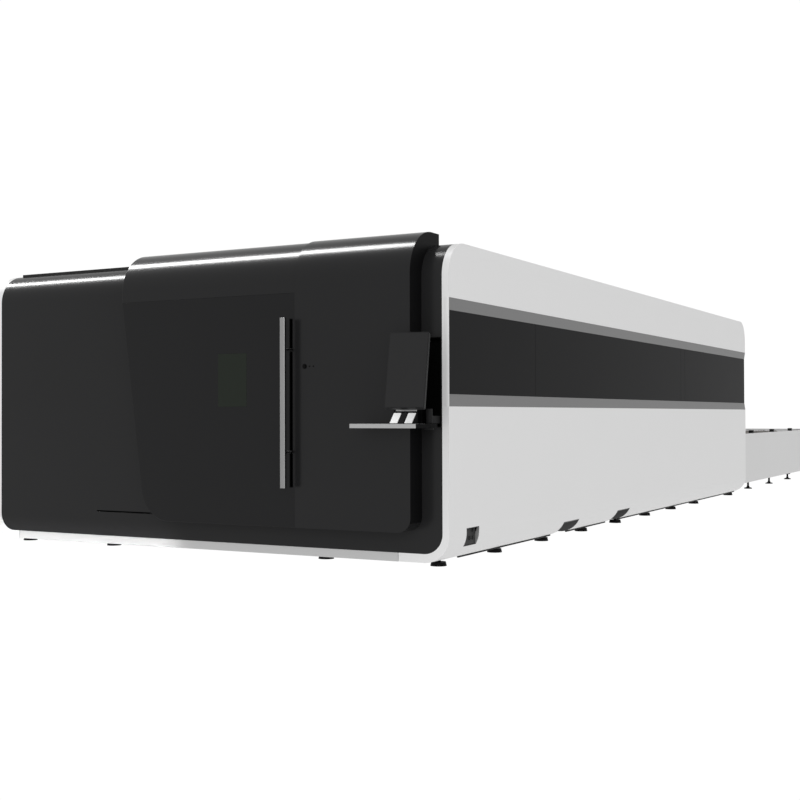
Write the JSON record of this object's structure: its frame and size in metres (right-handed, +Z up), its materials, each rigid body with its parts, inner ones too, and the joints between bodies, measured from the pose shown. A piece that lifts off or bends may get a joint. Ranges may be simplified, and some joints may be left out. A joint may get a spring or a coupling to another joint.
{
  "type": "laser cutting machine with exchange table",
  "caption": "Large closed sheet-metal laser cutter: rounded cabin with a sliding front door, swivelling console, gantry with cutting head, and a rear table for exchanging slatted pallets.",
  "frame": {"origin": "on the floor, at the middle of the whole machine's bounding box", "axes": "+Y from the front panel to the exchange table, +X to the right seen from the front, +Z up"},
  "size_m": [4.18, 15.8239, 2.289],
  "materials": {
    "white_shell": "satin",
    "dark_band": "satin",
    "black_front": "satin",
    "dark_table": "satin",
    "grey_frame": "matte",
    "gantry_paint": "satin",
    "zinc_sheet": "matte",
    "satin_metal": "satin",
    "bright_steel": "satin",
    "pallet_steel": "matte",
    "dark_steel": "satin",
    "motor_grey": "satin",
    "black_rubber": "matte",
    "fitting_brass": "satin",
    "tinted_glass": "gloss",
    "screen_glass": "gloss",
    "key_white": "matte",
    "button_black": "gloss",
    "lamp": "gloss",
    "grey_trim": "satin",
    "black_steel": "satin",
    "slate_tray": "matte"
  },
  "bodies": {
    "machine": {"side_shell_right": "white_shell", "side_shell_left": "white_shell", "band_panels": "dark_band", "band_trims": "grey_trim", "front_panel": "black_front", "console_niche": "black_front", "front_skirt": "white_shell", "door_guide_channel": "black_front", "door_rail": "bright_steel", "front_cover": "black_front", "front_lamps": "lamp", "base_frame": "grey_frame", "cabin_frame": "grey_frame", "bed_beams": "grey_frame", "scrap_trays": "zinc_sheet", "machine_feet": "black_steel", "fork_channels": "slate_tray", "port_tray": "slate_tray", "port_fittings": "black_steel", "roof_panels": "black_front", "rear_panel": "black_front", "gate_guides": "grey_frame", "cabin_tracks": "bright_steel", "table_tracks": "bright_steel", "shaft_bearings": "grey_frame", "gantry_rails": "bright_steel", "gantry_racks": "bright_steel", "console_bracket": "dark_steel", "table_frame": "dark_table", "table_panels": "white_shell", "table_feet": "black_steel", "edge_blocks": "black_rubber", "exchange_motor": "motor_grey", "drive_chains": "bright_steel"},
    "door": {"door_shell": "black_front", "door_face": "dark_band", "door_window": "tinted_glass", "handle_channel": "black_front", "door_handle": "satin_metal", "door_runners": "dark_steel", "door_guide_pin": "bright_steel"},
    "start_button": {"start_button": "button_black"},
    "console": {"console_tray": "satin_metal", "tray_carrier": "black_steel", "key_fields": "key_white", "screen_column": "dark_steel"},
    "screen": {"screen_housing": "dark_steel", "screen_glass": "screen_glass"},
    "gantry": {"gantry_beam": "gantry_paint", "gantry_saddles": "gantry_paint", "gantry_motors": "motor_grey", "beam_rails": "bright_steel"},
    "carriage": {"carriage": "gantry_paint"},
    "head": {"cutting_head": "satin_metal", "nozzle": "fitting_brass"},
    "gate": {"rear_gate": "dark_steel"},
    "upper_pallet": {"upper_pallet": "pallet_steel"},
    "lower_pallet": {"lower_pallet": "pallet_steel"},
    "drive_shaft": {"drive_shaft": "bright_steel"},
    "idler_shaft": {"idler_shaft": "bright_steel"}
  },
  "joints": [
    {"name": "door_slide", "type": "slide", "parent": "machine", "child": "door", "axis": [-1, 0, 0], "range_m": [0, 1.35]},
    {"name": "start_button_press", "type": "slide", "parent": "machine", "child": "start_button", "axis": [0, 1, 0], "range_m": [0, 0.004], "stiffness_N_per_m": 900},
    {"name": "console_swivel", "type": "hinge", "parent": "machine", "child": "console", "pos_m": [2, -7.5974, 0.963], "axis": [0, 0, 1], "range_deg": [0, 90]},
    {"name": "screen_tilt", "type": "hinge", "parent": "console", "child": "screen", "pos_m": [1.917, -7.7174, 1.3886], "axis": [0.9659, 0.2588, 0], "range_deg": [-10, 8]},
    {"name": "gantry_travel", "type": "slide", "parent": "machine", "child": "gantry", "axis": [0, 1, 0], "range_m": [-0.5, 5.4]},
    {"name": "carriage_travel", "type": "slide", "parent": "gantry", "child": "carriage", "axis": [1, 0, 0], "range_m": [-1.28, 1.28]},
    {"name": "head_lift", "type": "slide", "parent": "carriage", "child": "head", "axis": [0, 0, 1], "range_m": [-0.225, 0.075]},
    {"name": "gate_lift", "type": "slide", "parent": "machine", "child": "gate", "axis": [0, 0, 1], "range_m": [0, 0.34]},
    {"name": "upper_pallet_travel", "type": "slide", "parent": "machine", "child": "upper_pallet", "axis": [0, -1, 0], "range_m": [0, 8.1]},
    {"name": "lower_pallet_travel", "type": "slide", "parent": "machine", "child": "lower_pallet", "axis": [0, 1, 0], "range_m": [0, 8.1]},
    {"name": "drive_shaft_turn", "type": "hinge", "parent": "machine", "child": "drive_shaft", "pos_m": [0, 7.7126, 0.5475], "axis": [1, 0, 0], "range_deg": [0, 5018]},
    {"name": "idler_shaft_turn", "type": "hinge", "parent": "machine", "child": "idler_shaft", "pos_m": [0, -6.9274, 0.5475], "axis": [1, 0, 0], "range_deg": [0, 5018]}
  ],
  "couplings": [
    {"joint": "lower_pallet_travel", "follows": "upper_pallet_travel", "ratio": 1},
    {"joint": "drive_shaft_turn", "follows": "upper_pallet_travel", "rad_per_m": 10.811},
    {"joint": "idler_shaft_turn", "follows": "upper_pallet_travel", "rad_per_m": 10.811}
  ]
}
